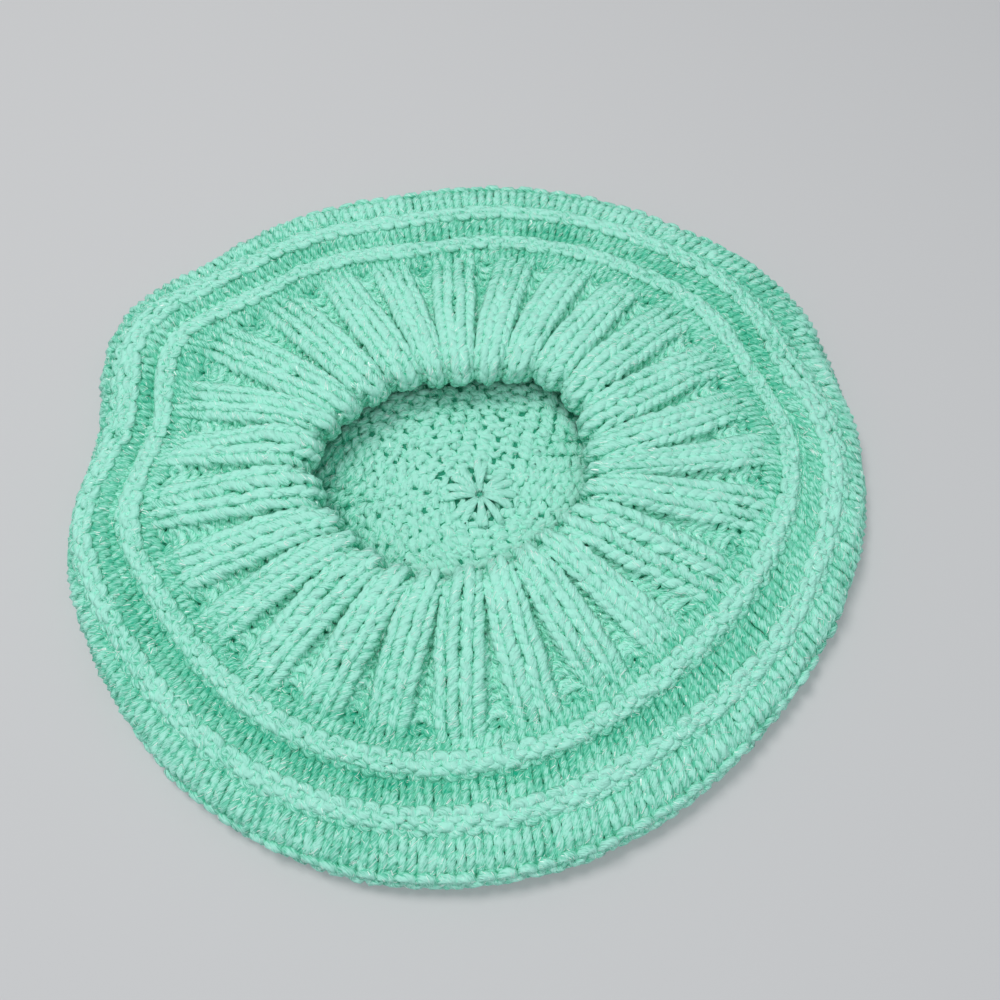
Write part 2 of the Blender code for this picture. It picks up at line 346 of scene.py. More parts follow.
def rim_angles():
    """Angles at the rim of places over three turns, spaced as its stitches are, in line with the ribs."""
    fine = np.arange(-360.0, 720.0, 1.0)
    grown = np.concatenate([[0.0], np.cumsum(around(RIM_DENSITY, fine + 0.5))])[:-1]
    start, turn = grown[360], grown[720] - grown[360]
    ribs = (grown - start) / turn * RIBS
    steps = np.arange(-RIBS, 2 * RIBS + 0.05, 0.1)
    there = rib_angle(steps, 0.0, 1.0)
    shift = np.mean(np.interp(there, fine, ribs) - steps)
    return steps, np.interp(steps + shift, ribs, fine)


RIM_STEPS, RIM_ANGLES = rim_angles()


def place_angle(at, course):
    at_ribs = rib_angle(at, smooth_table(RIB_RUN, 2, course), course)
    at_rim = np.interp(at, RIM_STEPS, RIM_ANGLES)
    return at_rim + (at_ribs - at_rim) * eased_over(LINED_UP, course)


def rib_shape(at):
    share = rib_place(at)[2]
    from_valley = np.minimum(share, 1 - share)
    return np.interp(from_valley, [row[0] for row in RIB_SHAPE], [row[1] for row in RIB_SHAPE])


def knuckle(at, course):
    """The rounded end of a rib at the lip: 1 at its middle and -1.3 in the valleys."""
    share = rib_place(at)[2]
    share = share - smooth_table(RIB_RUN, 2, course) * np.sin(2 * math.pi * share) / (2 * math.pi)
    return 1 - KNUCKLE_DEPTH * np.abs(2 * share - 1) ** KNUCKLE_ROUND


def relief(at, course, share=1.0):
    """How far the middle of the fabric stands out of the plain wall; share scales the ribs."""
    out = np.zeros(np.broadcast(at, course).shape)
    for _, centre, spread, height in SWELLS:
        out = out + height * np.exp(-(((course - centre) / spread) ** 2))
    rounded = eased_over(KNUCKLE_GROWS, course)
    shape = rib_shape(at) * (1 - rounded) + knuckle(at, course) * rounded
    out = out + share * RIB_HEIGHT * shape * smooth_table(RIB_RUN, 1, course)
    return out - smooth_table(RIB_RUN, 3, course)


def side_surface(at, course, share=1.0):
    """Middle of the side's or the ribbing's fabric, about the hub; share scales the ribs."""
    angle = place_angle(at, course)
    past = np.maximum(course - LIP_BEND, 0)
    kept = LIP_BEND_SPREAD * np.tanh(past / LIP_BEND_SPREAD)
    drop = (past - kept) * RUN_PER_COURSE
    laid = np.minimum(course, LIP_BEND) + kept
    groove_drift, foot_drift, pull = (
        around([(row[0], row[k]) for row in DRIFTS], angle) for k in (1, 2, 3)
    )
    to_foot = eased_over(DRIFT_TURNS, laid)
    drift = groove_drift * (1 - to_foot) + foot_drift * to_foot
    drawn = laid + drift * eased_over(DRIFT_GROWS, laid) * (1 - eased_over(DRIFT_FADES, laid))
    step = 0.01
    ahead = fabric(drawn + step, angle)
    behind = fabric(drawn - step, angle)
    reach, height = fabric(drawn, angle)
    along = np.stack([ahead[0] - behind[0], ahead[1] - behind[1]])
    along = along / np.hypot(along[0], along[1])
    out = relief(at, laid, share)
    scallop = share * LIP_SCALLOP * knuckle(at, laid) * eased_over(LIP_SCALLOP_GROWS, laid)
    reach = reach + along[1] * out - scallop
    height = height - along[0] * out - drop
    reach = reach - pull * (1 - eased_over(RIM_PULL_FADES, drawn))
    turn = np.radians(angle)
    return np.stack([reach * np.cos(turn), reach * np.sin(turn), height], axis=-1)


# The crown's middle height, its low waves, and its ring-shaped dip under the star: depth, reach, spread
CROWN_HEIGHT = 0.0021
CROWN_WAVE = 0.0003
CROWN_DIP = (0.0006, 0.0095, 0.0030)


def crown_surface(turn, share):
    """turn is in whole turns, share of the way from the hub to the crown's edge."""
    angle = turn * 360.0
    edge = fabric(np.full(np.shape(angle), TUCK_COURSE), angle)[0]
    reach = share * edge
    around_hub = np.radians(angle)
    wave = np.sin(3.1 * around_hub + 9 * share) * np.sin(2.3 * math.pi * share)
    depth, dip_reach, spread = CROWN_DIP
    dip = depth * np.exp(-((reach - dip_reach) / spread) ** 2)
    height = CROWN_HEIGHT + CROWN_WAVE * wave - dip
    return np.stack([reach * np.cos(around_hub), reach * np.sin(around_hub), height], axis=-1)


def unit(vectors):
    return vectors / np.maximum(np.linalg.norm(vectors, axis=-1, keepdims=True), 1e-12)


def floored(points):
    """Yarn that would sink under the floor is pressed flat on it."""
    height = points[..., 2]
    squashed = FLOOR_LAYER + (height - FLOOR_LAYER) * FLOOR_SQUASH
    points[..., 2] = np.maximum(np.where(height < FLOOR_LAYER, squashed, height), FLOOR_GAP)
    return points


def loop_times(samples):
    """Places along a loop, closer together round its bends."""
    even = np.arange(samples) / samples * 2 * math.pi
    return even - BEND_CLOSER * np.sin(2 * even)


def near_kinds(kinds, t):
    """The kind of stitch at each place along a row, eased over from one stitch to the next."""
    here = kinds[:, None]
    before = np.roll(kinds, 1)[:, None]
    after = np.roll(kinds, -1)[:, None]
    ease = KIND_EASE * math.pi
    start = 0.5 - 0.5 * eased(t / ease)[None, :]
    end = 0.5 - 0.5 * eased((2 * math.pi - t) / ease)[None, :]
    return here * (1 - start - end) + before * start + after * end


def blurred_noise(shape, widths):
    """Noise of about -1 to 1 that closes on itself along its first axis; widths are (width, weight)."""
    total = np.zeros(shape)
    for width, weight in widths:
        raw = rng.normal(size=shape)
        spectrum = np.fft.rfft(raw, axis=0)
        pitch = np.arange(spectrum.shape[0]) / shape[0]
        window = np.exp(-((pitch * width) ** 2))
        spectrum = spectrum * window.reshape((-1,) + (1,) * (len(shape) - 1))
        smooth = np.fft.irfft(spectrum, n=shape[0], axis=0)
        total = total + weight * smooth / max(smooth.std(), 1e-9)
    return total


def yarn_row(surface, place, count, feet, heads, spacing, knit, samples, sides, foot=None, swell=None):
    """One round of loops as a closed tube.

    surface gives points for (stitch, row place); place turns a count of rows away from this one into a
    row place. feet and heads lie behind the legs at 1 and before them at -1.
    """
    t = loop_times(samples)
    index = np.arange(count)[:, None]
    knit_reach = 0.5 + KNIT_OVERLAP / spacing
    jitter = {name: rng.normal(size=(count, 1)) for name in ("tall", "lean", "deep", "along", "across")}
    low = (1 + np.cos(t))[None, :] / 2
    feet_here, heads_here = near_kinds(feet, t), near_kinds(heads, t)
    kind_here = low * feet_here + (1 - low) * heads_here
    purl_share = np.clip(0.5 - 0.5 * np.where(np.cos(t)[None, :] > 0, feet_here, heads_here), 0, 1)
    uneven = knit.get("uneven", 1.0)
    purl_reach = knit.get("reach", PURL_REACH)
    tall = knit_reach + (purl_reach - knit_reach) * purl_share
    tall = tall * (1 + TALL_NOISE * uneven * jitter["tall"])
    lean_here = knit["lean"] + (PURL_LEAN - knit["lean"]) * purl_share
    lean_here = lean_here * (1 + LEAN_NOISE * uneven * jitter["lean"])
    ease = np.sin(t / 2)[None, :] ** 2
    across_noise = PLACE_NOISE * uneven * jitter["across"] * ease
    x = index + t / (2 * math.pi) + lean_here * np.sin(2 * t) + across_noise
    y = -np.cos(t)[None, :] * tall + PLACE_NOISE * uneven * jitter["along"] * ease
    bend = np.cos(2 * t)[None, :]
    front = np.tanh(BRICK_SHARP * (bend + BRICK_OFFSET)) / math.tanh(BRICK_SHARP * (1 + BRICK_OFFSET))
    push = -knit["depth"] * (bend * kind_here * (1 - purl_share) + front * kind_here * purl_share)
    push = push * (1 + DEPTH_NOISE * jitter["deep"]) + DEPTH_NOISE_BASE * jitter["deep"]
    bend_share = np.broadcast_to(np.cos(t)[None, :] ** 2, x.shape).reshape(-1)
    x, y, push = (np.broadcast_to(a, x.shape).reshape(-1) for a in (x, y, push))
    if foot is not None:
        x = foot(x, y, tall.mean())
    course = place(y)
    middle = surface(x, course)
    du, dv = 0.06, 0.004
    across = surface(x + du, course, NORMAL_SHARE) - surface(x - du, course, NORMAL_SHARE)
    along = surface(x, course + dv, NORMAL_SHARE) - surface(x, course - dv, NORMAL_SHARE)
    width = np.linalg.norm(across, axis=-1) / (2 * du)
    normal = unit(np.cross(across, along))
    middle = middle + normal * push[:, None] + HUB
    thick = 1 + THICK_NOISE * blurred_noise((len(middle),), ((18, 1.0), (5, 0.6)))
    leg = np.minimum(knit.get("leg", LEG_SHARE) * width + LEG_BASE, LEG_MOST)
    bend_half = np.minimum(knit["wide"], BEND_SHARE * width + BEND_BASE)
    half = (leg + (bend_half - leg) * bend_share) * thick
    row = tube_row(middle, normal, half, knit["deep"] * thick, sides)
    row["rise"] = push / knit["depth"]
    # Painted shade and light of each sample, where it is given
    if swell is not None:
        row["swell"] = swell(x, course)
    return row


def tube_row(middle, normal, half, half_deep, sides):
    """A closed tube of yarn along its middle points, with half widths across and along the normals."""
    tangent = unit(np.roll(middle, -1, axis=0) - np.roll(middle, 1, axis=0))
    side = unit(np.cross(tangent, normal))
    up = np.cross(side, tangent)
    step = np.linalg.norm(np.roll(middle, -1, axis=0) - middle, axis=-1)
    turn = (np.arange(sides) + 0.5) / sides * 2 * math.pi
    half_deep = np.broadcast_to(half_deep, half.shape)
    lump = 1 + LUMPS * rng.normal(size=(len(middle), sides))
    ring = (
        middle[:, None, :]
        + side[:, None, :] * (half[:, None] * np.cos(turn)[None, :] * lump)[..., None]
        + up[:, None, :] * (half_deep[:, None] * np.sin(turn)[None, :] * lump)[..., None]
    )
    none = np.zeros(len(middle))
    return {
        "ring": floored(ring),
        "middle": middle,
        "up": up,
        "side": side,
        "half": half,
        "deep": half_deep,
        "length": np.concatenate([[0.0], np.cumsum(step)]),
        "rise": none,
        "swell": none,
        "tint": none,
        "face": 1,
    }


def quad_piece(name, points, faces, material):
    """A smooth piece of four-cornered faces."""
    mesh = bpy.data.meshes.new(name)
    mesh.vertices.add(len(points))
    mesh.vertices.foreach_set("co", points.astype(np.float32).ravel())
    mesh.loops.add(faces.size)
    mesh.loops.foreach_set("vertex_index", faces.astype(np.int32).ravel())
    mesh.polygons.add(len(faces))
    mesh.polygons.foreach_set("loop_start", np.arange(0, faces.size, 4, dtype=np.int32))
    mesh.update(calc_edges=True)
    mesh.shade_smooth()
    mesh.materials.append(material)
    piece = bpy.data.objects.new(name, mesh)
    bpy.context.scene.collection.objects.link(piece)
    return piece


# Rings of a tube in one lane of the map to bake in, and the share of the lane's width that it fills
LANE_RINGS = 300
LANE_FILL = 0.84
LANE_EDGE = 0.08


def tube_mesh(name, rows, material):
    """One mesh of many closed tubes, with the yarn's own coordinates and a map to bake in."""
    sides = rows[0]["ring"].shape[1]
    vertices, faces, yarn_uv, bake_uv, tint = [], [], [], [], []
    lanes = sum(math.ceil(len(row["ring"]) / LANE_RINGS) for row in rows)
    first_lane = 0
    base = 0
    for row in rows:
        ring = row["ring"]
        count = len(ring)
        vertices.append(ring.reshape(-1, 3))
        k = np.arange(count)[:, None]
        m = np.arange(sides)[None, :]
        kk, mm = (k + 1) % count, (m + 1) % sides
        quad = [k * sides + m, kk * sides + m, kk * sides + mm, k * sides + mm]
        faces.append(np.stack(quad, axis=-1).reshape(-1, 4) + base)
        length = row["length"]
        start, end = length[:-1][:, None] + 0 * m, length[1:][:, None] + 0 * m
        v0, v1 = (m + 0 * k) / sides, (m + 1 + 0 * k) / sides
        yarn_uv.append(np.stack([start, v0, end, v0, end, v1, start, v1], axis=-1).reshape(-1, 2))
        part, within = np.divmod(np.arange(count), LANE_RINGS)
        lane = (first_lane + part)[:, None] + 0 * m
        u0 = (within / LANE_RINGS)[:, None] + 0.0 * m
        u1 = ((within + 1) / LANE_RINGS)[:, None] + 0.0 * m
        b0 = (lane + LANE_EDGE + LANE_FILL * v0) / lanes
        b1 = (lane + LANE_EDGE + LANE_FILL * v1) / lanes
        bake_uv.append(np.stack([u0, b0, u1, b0, u1, b1, u0, b1], axis=-1).reshape(-1, 2))
        # Painted light and shade: lighter where the yarn faces out of the fabric or its loop is pushed out,
        # darker where it faces in or is pushed in
        around_yarn = np.sin((m + 0.5) / sides * 2 * math.pi)
        raised = OUTER_PAINTED_LIGHT * around_yarn + RAISED_PAINTED_LIGHT * row["rise"][:, None]
        tint.append(((row["tint"] + row["swell"])[:, None] + row["face"] * raised).ravel())
        first_lane += math.ceil(count / LANE_RINGS)
        base += count * sides
    piece = quad_piece(name, np.concatenate(vertices), np.concatenate(faces), material)
    for layer, data in (("OFBake", bake_uv), ("yarn", yarn_uv)):
        uv = piece.data.uv_layers.new(name=layer)
        uv.data.foreach_set("uv", np.concatenate(data).astype(np.float32).ravel())
    shade = piece.data.attributes.new("tint", "FLOAT", "POINT")
    shade.data.foreach_set("value", np.concatenate(tint).astype(np.float32))
    return piece


def node_maker(material):
    material.use_nodes = True
    tree = material.node_tree
    tree.nodes.clear()

    def make(kind, settings=None, **inputs):
        node = tree.nodes.new(kind)
        for key, value in (settings or {}).items():
            setattr(node, key, value)
        for key, value in inputs.items():
            numbered = key[0] == "i" and key[1:].isdigit()
            socket = node.inputs[int(key[1:]) if numbered else key.replace("_", " ")]
            if hasattr(value, "links"):
                tree.links.new(value, socket)
            else:
                socket.default_value = value
        return node

    return make


# The yarn's twist, and how strongly each pattern shows in its colour and in its bumps
PLY_LENGTH = 0.0052
PLIES = 2.0
STRAND_CONTRAST = 1.35
STRAND_MIDDLE = -0.88
BROAD_CONTRAST = 0.5
FLUFF_CONTRAST = 0.5
PLY_BUMP = 0.4
FLUFF_BUMP = 0.8
BUMP_DEPTH = 0.00045
RAMP_ENDS = (0.10, 0.87)
FLAT_NOISE = {"noise_dimensions": "2D"}


def yarn_material(name, base, dark, light):
    material = bpy.data.materials.new(name)
    make = node_maker(material)

    def add_scaled(value, scale, to):
        return make("ShaderNodeMath", {"operation": "MULTIPLY_ADD"}, i0=value, i1=scale, i2=to).outputs[0]

    lengthwise = make("ShaderNodeUVMap", {"uv_map": "yarn"})
    split = make("ShaderNodeSeparateXYZ", Vector=lengthwise.outputs[0])
    # The plies twist round each other: a helix of phase over length and way round
    along = make("ShaderNodeMath", {"operation": "MULTIPLY"}, i0=split.outputs[0], i1=1 / PLY_LENGTH)
    twist = add_scaled(split.outputs[1], PLIES, along.outputs[0])
    turned = make("ShaderNodeMath", {"operation": "MULTIPLY"}, i0=twist, i1=2 * math.pi)
    wave = make("ShaderNodeMath", {"operation": "SINE"}, i0=turned.outputs[0])
    helix = make("ShaderNodeCombineXYZ", X=along.outputs[0], Y=twist, Z=0.0)
    stretched = make("ShaderNodeMapping", Vector=helix.outputs[0], Scale=(1.6, 4.6, 1.0))
    strands = make("ShaderNodeTexNoise", FLAT_NOISE, Vector=stretched.outputs[0], Scale=1.6, Detail=3.0)
    place = make("ShaderNodeTexCoord")
    broad = make("ShaderNodeTexNoise", Vector=place.outputs["Object"], Scale=28.0, Detail=2.0)
    fluff = make("ShaderNodeTexNoise", Vector=place.outputs["Object"], Scale=900.0, Detail=2.0)
    # The tint attribute holds painted light and shade as well as the yarn's own uneven tone
    tint = make("ShaderNodeAttribute", {"attribute_name": "tint"})
    centred = add_scaled(strands.outputs[0], STRAND_CONTRAST, STRAND_MIDDLE)
    mixed = make("ShaderNodeMath", {"operation": "ADD"}, i0=centred, i1=tint.outputs["Fac"])
    mixed = add_scaled(broad.outputs[0], BROAD_CONTRAST, mixed.outputs[0])
    mixed = add_scaled(fluff.outputs[0], FLUFF_CONTRAST, mixed)
    ramp = make("ShaderNodeValToRGB", Fac=mixed)
    for end, place_on_ramp, colour in zip(ramp.color_ramp.elements, RAMP_ENDS, (dark, light)):
        end.position = place_on_ramp
        end.color = (*colour, 1)
    ramp.color_ramp.elements.new(0.5).color = (*base, 1)
    lift = add_scaled(wave.outputs[0], PLY_BUMP, strands.outputs[0])
    lift = add_scaled(fluff.outputs[0], FLUFF_BUMP, lift)
    bump = make("ShaderNodeBump", Strength=0.9, Distance=BUMP_DEPTH, Height=lift)
    shader = make("ShaderNodeBsdfPrincipled", Base_Color=ramp.outputs[0], Normal=bump.outputs[0])
    shader.inputs["Roughness"].default_value = 0.82
    shader.inputs["Sheen Weight"].default_value = 0.05
    shader.inputs["Sheen Roughness"].default_value = 0.5
    shader.inputs["Sheen Tint"].default_value = (0.50, 1.0, 0.84, 1)
    shader.inputs["Specular IOR Level"].default_value = 0.12
    make("ShaderNodeOutputMaterial", Surface=shader.outputs[0])
    return material


# Courses of all rounds, with two more before the first and two closer ones after the last
side_courses = [row[0] for row in SIDE_ROWS]
rib_span = LAST_RIB_COURSE - FIRST_RIB_COURSE
rib_courses = [FIRST_RIB_COURSE + rib_span * k / (RIB_ROWS - 1) for k in range(RIB_ROWS)]
courses = np.array(side_courses + rib_courses)
first_step, last_step = courses[1] - courses[0], courses[-1] - courses[-2]
before_first = [courses[0] - 2 * first_step, courses[0] - first_step]
after_last = [courses[-1] + 0.8 * last_step, courses[-1] + 1.3 * last_step]
ROW_COURSES = np.concatenate([before_first, courses, after_last])
ROW_NUMBERS = np.arange(len(ROW_COURSES)) - 2.0

# Colours of the yarn: mint, the dark end that painted shade and darker fibres reach, and the light end that
# painted light and lighter fibres reach
MINT = (0.182, 0.69, 0.485)
MINT_DARK = (0.016, 0.46, 0.275)
MINT_LIGHT = (0.45, 0.95, 0.79)
yarn_mint = yarn_material("mint_yarn", MINT, MINT_DARK, MINT_LIGHT)

# Distance from one round to the next that the loops are sized for
SIDE_ROW_GAP = 0.0031
RIB_ROW_GAP = 0.0030


def knitted_row(line):
    """A round of the side or of the ribbing; line counts rounds from under the rim."""
    in_ribs = line >= len(SIDE_ROWS)
    stitches = RIB_STITCHES if in_ribs else SIDE_STITCHES
    count = RIBS * stitches
    if in_ribs:
        feet = heads = np.where(np.arange(count) % RIB_STITCHES == 0, -1.0, 1.0)
        knit = RIB_FOOT if line == len(SIDE_ROWS) else RIBBING
        first = 0.5
    else:
        feet, heads = np.full(count, float(SIDE_ROWS[line][1])), np.full(count, float(SIDE_ROWS[line][2]))
        knit = WELT if min(feet[0], heads[0]) < 0 else BAND
        first = 0.0
    if line == len(SIDE_ROWS) - 1:
        heads = np.ones(count)

    def surface(stitch, course, share=1.0):
        return side_surface((stitch - first) / stitches, course, share)

    def place(offset):
        return np.interp(line + offset, ROW_NUMBERS, ROW_COURSES)

    # Painted shade and light by course, with the near side's own, and darker in the relief's valleys
    def swell(stitch, course):
        at = (stitch - first) / stitches
        raised = np.clip(relief(at, course) / RIB_HEIGHT, -1.3, 1.0)
        near = around(NEAR_SIDE, place_angle(at, course))
        shade_courses, there, elsewhere = (np.array(column) for column in zip(*PAINTED_SHADE_BY_COURSE))
        there = np.interp(course, shade_courses, there)
        elsewhere = np.interp(course, shade_courses, elsewhere)
        return RELIEF_PAINTED_SHADE * raised + elsewhere + (there - elsewhere) * near

    spacing = RIB_ROW_GAP if in_ribs else SIDE_ROW_GAP
    row = yarn_row(surface, place, count, feet, heads, spacing, knit, LOOP_SAMPLES, YARN_SIDES, swell=swell)
    shade = np.repeat(STITCH_TINT * rng.normal(size=count), LOOP_SAMPLES)
    row["tint"] = shade + ROW_TINT * blurred_noise((count * LOOP_SAMPLES,), ((60, 1.0),))
    return row


rows = [knitted_row(line) for line in range(len(SIDE_ROWS) + RIB_ROWS)]

# Bound-off edge along the lip: each stitch drawn through its neighbour, lying along the edge
LINK_SAMPLES = 12
LIP_COURSE = 2.022
# Over one rib: a link's middle and half length as shares of the rib, its half width, how far it stands out
LINKS = (
    (0.25, 0.075, 0.00115, 0.0002),
    (0.42, 0.075, 0.00115, 0.0002),
    (0.58, 0.075, 0.00115, 0.0002),
    (0.75, 0.075, 0.00115, 0.0002),
    (0.0, 0.10, 0.00070, -0.0008),
)
# A link's half width across the edge, its slant off the fabric, and how unevenly it lies
LINK_ACROSS = 0.0010
LINK_SLANT = 0.0006
LINK_NOISE = 0.0002
LINK_TURNED = 0.4
links = []
turn = np.arange(LINK_SAMPLES) / LINK_SAMPLES * 2 * math.pi
for rib, (centre, wide, half, lift) in ((rib, link) for rib in range(RIBS) for link in LINKS):
    at = rib + centre + 0.015 * rng.normal() + wide * (1 + 0.08 * rng.normal()) * np.cos(turn)
    course = np.full(LINK_SAMPLES, LIP_COURSE)
    base = side_surface(at, course)
    ahead = side_surface(at, course + 0.01) - side_surface(at, course - 0.01)
    sideways = side_surface(at + 0.02, course) - side_surface(at - 0.02, course)
    normal = unit(np.cross(sideways, ahead))
    inward = unit(ahead)
    out = lift + LINK_SLANT * np.cos(turn) + LINK_NOISE * rng.normal()
    along = LINK_ACROSS * np.sin(turn) + LINK_NOISE * rng.normal()
    middle = base + inward * along[:, None] + normal * out[:, None] + HUB
    flat = np.full(LINK_SAMPLES, half)
    link = tube_row(middle, unit(normal + LINK_TURNED * inward), flat, flat, YARN_SIDES)
    # Painted light and shade: links that stand out are drawn lighter, the sunk link in each valley darker
    link["tint"] = np.full(LINK_SAMPLES, 0.10 * np.sign(lift) + STITCH_TINT * rng.normal())
    links.append(link)

side_count = len(SIDE_ROWS)
groups = {
    "side_under": rows[:8],
    "side_upper": rows[8:side_count],
    "ribs_outer": rows[side_count:side_count + 8],
    "ribs_inner": rows[side_count + 8:],
    "bound_edge": links,
}

# Crown, knitted outward from the hub with the purl face inside
CROWN_LINES = 29
CROWN_START = 0.0084
CROWN_STITCH = 0.0050
CROWN_SAMPLES = 10
CROWN_SIDES = 5
CROWN_END = 0.985
# Tint of the crown in the open, drawn lighter than the side as painted light, and its uneven tone from one
# stitch to the next
CROWN_PAINTED_LIGHT = 0.31
CROWN_STITCH_TINT = 0.05
# Painted shadow of the lip on the crown: how much darker the yarn is drawn under the lip, (angle, tint),
# and the shares of the mouth it spreads over
CROWN_PAINTED_SHADOW = (
    (0, 0.16),
    (40, 0.28),
    (90, 0.34),
    (135, 0.42),
    (180, 0.62),
    (215, 0.44),
    (250, 0.12),
    (320, 0.08),
)
SHADE_START = 0.52
SHADE_SPREAD = 0.55
edge_mean = float(np.mean(fabric(np.full(360, TUCK_COURSE), np.arange(360.0))[0]))
crown_shares = CROWN_END * np.linspace(CROWN_START / edge_mean, 1.0, CROWN_LINES)
crown_step = crown_shares[1] - crown_shares[0]
crown_gap = crown_step * edge_mean


def crown_count(share):
    """How many stitches fit round the crown at a share of its reach."""
    fitting = round(2 * math.pi * share * edge_mean / CROWN_STITCH)
    return int(min(RIBS * SIDE_STITCHES, fitting))


crown_counts = [crown_count(share) for share in crown_shares]


def crown_row(k):
    count = crown_counts[k]
    before = crown_counts[k - 1] if k else count

    def foot(x, y, tall):
        """A loop's foot sits on a loop of the row within."""
        centre = np.floor(x) + 0.5
        held = np.round(centre * before / count - 0.5) + 0.5
        snapped = (held / before * count - centre) * 0.5
        return x + snapped * np.clip((1 - y / tall) / 2, 0, 1) * np.sin(math.pi * (x - np.floor(x)))

    def surface(stitch, out, share=1.0):
        return crown_surface(stitch / count, out)

    def place(offset):
        return crown_shares[k] + offset * crown_step

    ones = np.ones(count)
    row = yarn_row(
        surface, place, count, ones, ones, crown_gap, CROWN, CROWN_SAMPLES, CROWN_SIDES, foot=foot
    )
    # Painted shadow of the lip, deepest on the left
    from_hub = row["middle"] - HUB
    angle = np.degrees(np.arctan2(from_hub[:, 1], from_hub[:, 0]))
    under_lip = np.hypot(from_hub[:, 0], from_hub[:, 1]) / (MOUTH_REACH * around(MOUTH_LOBES, angle))
    shade = around(CROWN_PAINTED_SHADOW, angle) * eased((under_lip - SHADE_START) / SHADE_SPREAD)
    uneven = np.repeat(CROWN_STITCH_TINT * rng.normal(size=count), CROWN_SAMPLES)
    row["tint"] = CROWN_PAINTED_LIGHT - shade + uneven
    # The inner face is the one in view: the painted light and the tinsel go on it
    row["face"] = -1
    return row


crown_rows = [crown_row(k) for k in range(CROWN_LINES)]

# Gathered star: the first stitches, drawn together round the hub
STRANDS = 15
STRAND_SAMPLES = 14
STAR_INNER = 0.0014
STAR_OUTER = 0.0118
STRAND_HALF = 0.00112
# How far apart a strand's two sides lie, and how far it bends sideways
STRAND_APART = 0.00018
STRAND_BEND = 0.0004
# Height of a strand at the hub, its rise halfway, its fall at the end
STRAND_BASE = 0.0034
STRAND_RISE = 0.0013
STRAND_FALL = 0.0007
# Painted light: the star's strands are drawn lighter to offset the shade on their flanks
STRAND_PAINTED_LIGHT = 0.58
# The star is drawn a little to the far side of the hub
STAR_PLACE = HUB + np.array([0.0, 0.0022, 0.0])
# The ring of yarn in its middle
CINCH_SAMPLES = 12
CINCH_REACH = 0.0009
CINCH_HEIGHT = 0.0022
CINCH_TINT = -0.25
strands = []
turn = np.arange(STRAND_SAMPLES) / STRAND_SAMPLES * 2 * math.pi
for strand in range(STRANDS):
    angle = 2 * math.pi * (strand + 0.20 * rng.normal()) / STRANDS
    outer = STAR_OUTER + 0.0007 * rng.normal()
    share = (1 - np.cos(turn)) / 2
    pinch = 0.50 + 0.50 * np.clip(share * 1.8, 0, 1)
    reach = STAR_INNER + (outer - STAR_INNER) * share
    apart = STRAND_APART * np.tanh(2.6 * np.sin(turn)) * pinch * (1 + 0.2 * rng.normal())
    bend = STRAND_BEND * rng.normal() * np.sin(math.pi * share)
    height = STRAND_BASE + STRAND_RISE * np.sin(math.pi * share) - STRAND_FALL * share**3
    height = height + 0.0002 * rng.normal()
    there = np.stack([
        reach * math.cos(angle) - (apart + bend) * math.sin(angle),
        reach * math.sin(angle) + (apart + bend) * math.cos(angle),
        height,
    ], axis=-1) + STAR_PLACE
    upright = np.tile([0.0, 0.0, 1.0], (STRAND_SAMPLES, 1))
    ring = tube_row(there, upright, 1.15 * STRAND_HALF * pinch, 0.80 * STRAND_HALF * pinch, YARN_SIDES)
    ring["tint"] = np.full(STRAND_SAMPLES, STRAND_PAINTED_LIGHT + 0.04 * rng.normal())
    strands.append(ring)
turn = np.arange(CINCH_SAMPLES) / CINCH_SAMPLES * 2 * math.pi
level = np.full(CINCH_SAMPLES, CINCH_HEIGHT)
cinch = np.stack([CINCH_REACH * np.cos(turn), CINCH_REACH * np.sin(turn), level], axis=-1) + STAR_PLACE
upright = np.tile([0.0, 0.0, 1.0], (CINCH_SAMPLES, 1))
wide, deep = np.full(CINCH_SAMPLES, 0.00095), np.full(CINCH_SAMPLES, 0.00090)
ring = tube_row(cinch, upright, wide, deep, YARN_SIDES)
ring["tint"] = np.full(CINCH_SAMPLES, CINCH_TINT)
strands.append(ring)
groups["crown_star"] = strands
groups["crown_inner"] = crown_rows[:18]
groups["crown_outer"] = crown_rows[18:]

stands_for = {
    "side_under": "side",
    "side_upper": "side",
    "ribs_outer": "ribbed_band",
    "ribs_inner": "ribbed_band",
    "bound_edge": "ribbed_band",
    "crown_inner": "crown",
    "crown_outer": "crown",
    "crown_star": "crown",
}
for name, group in groups.items():
    piece = tube_mesh(name, group, yarn_mint)
    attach(piece, "root")
    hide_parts(stands_for[name])

# Tinsel: thin shiny filaments that surface along the yarn for a millimetre or two at a time
TINSEL_PER_METRE = 640.0
TINSEL_HALF = 0.00011
TINSEL_STEPS = 3
TINSEL_SHARES = {"side": 1.0, "ribbed_band": 1.0, "crown": 0.45}
# Samples of yarn from one place of a filament to the next, and how far it lies out from the yarn's middle
TINSEL_REACH = (0.10, 0.30)
TINSEL_OUT = 1.04


def between(values, low, high, share):
    """Values at places between two samples of a row."""
    return values[low] * (1 - share) + values[high] * share


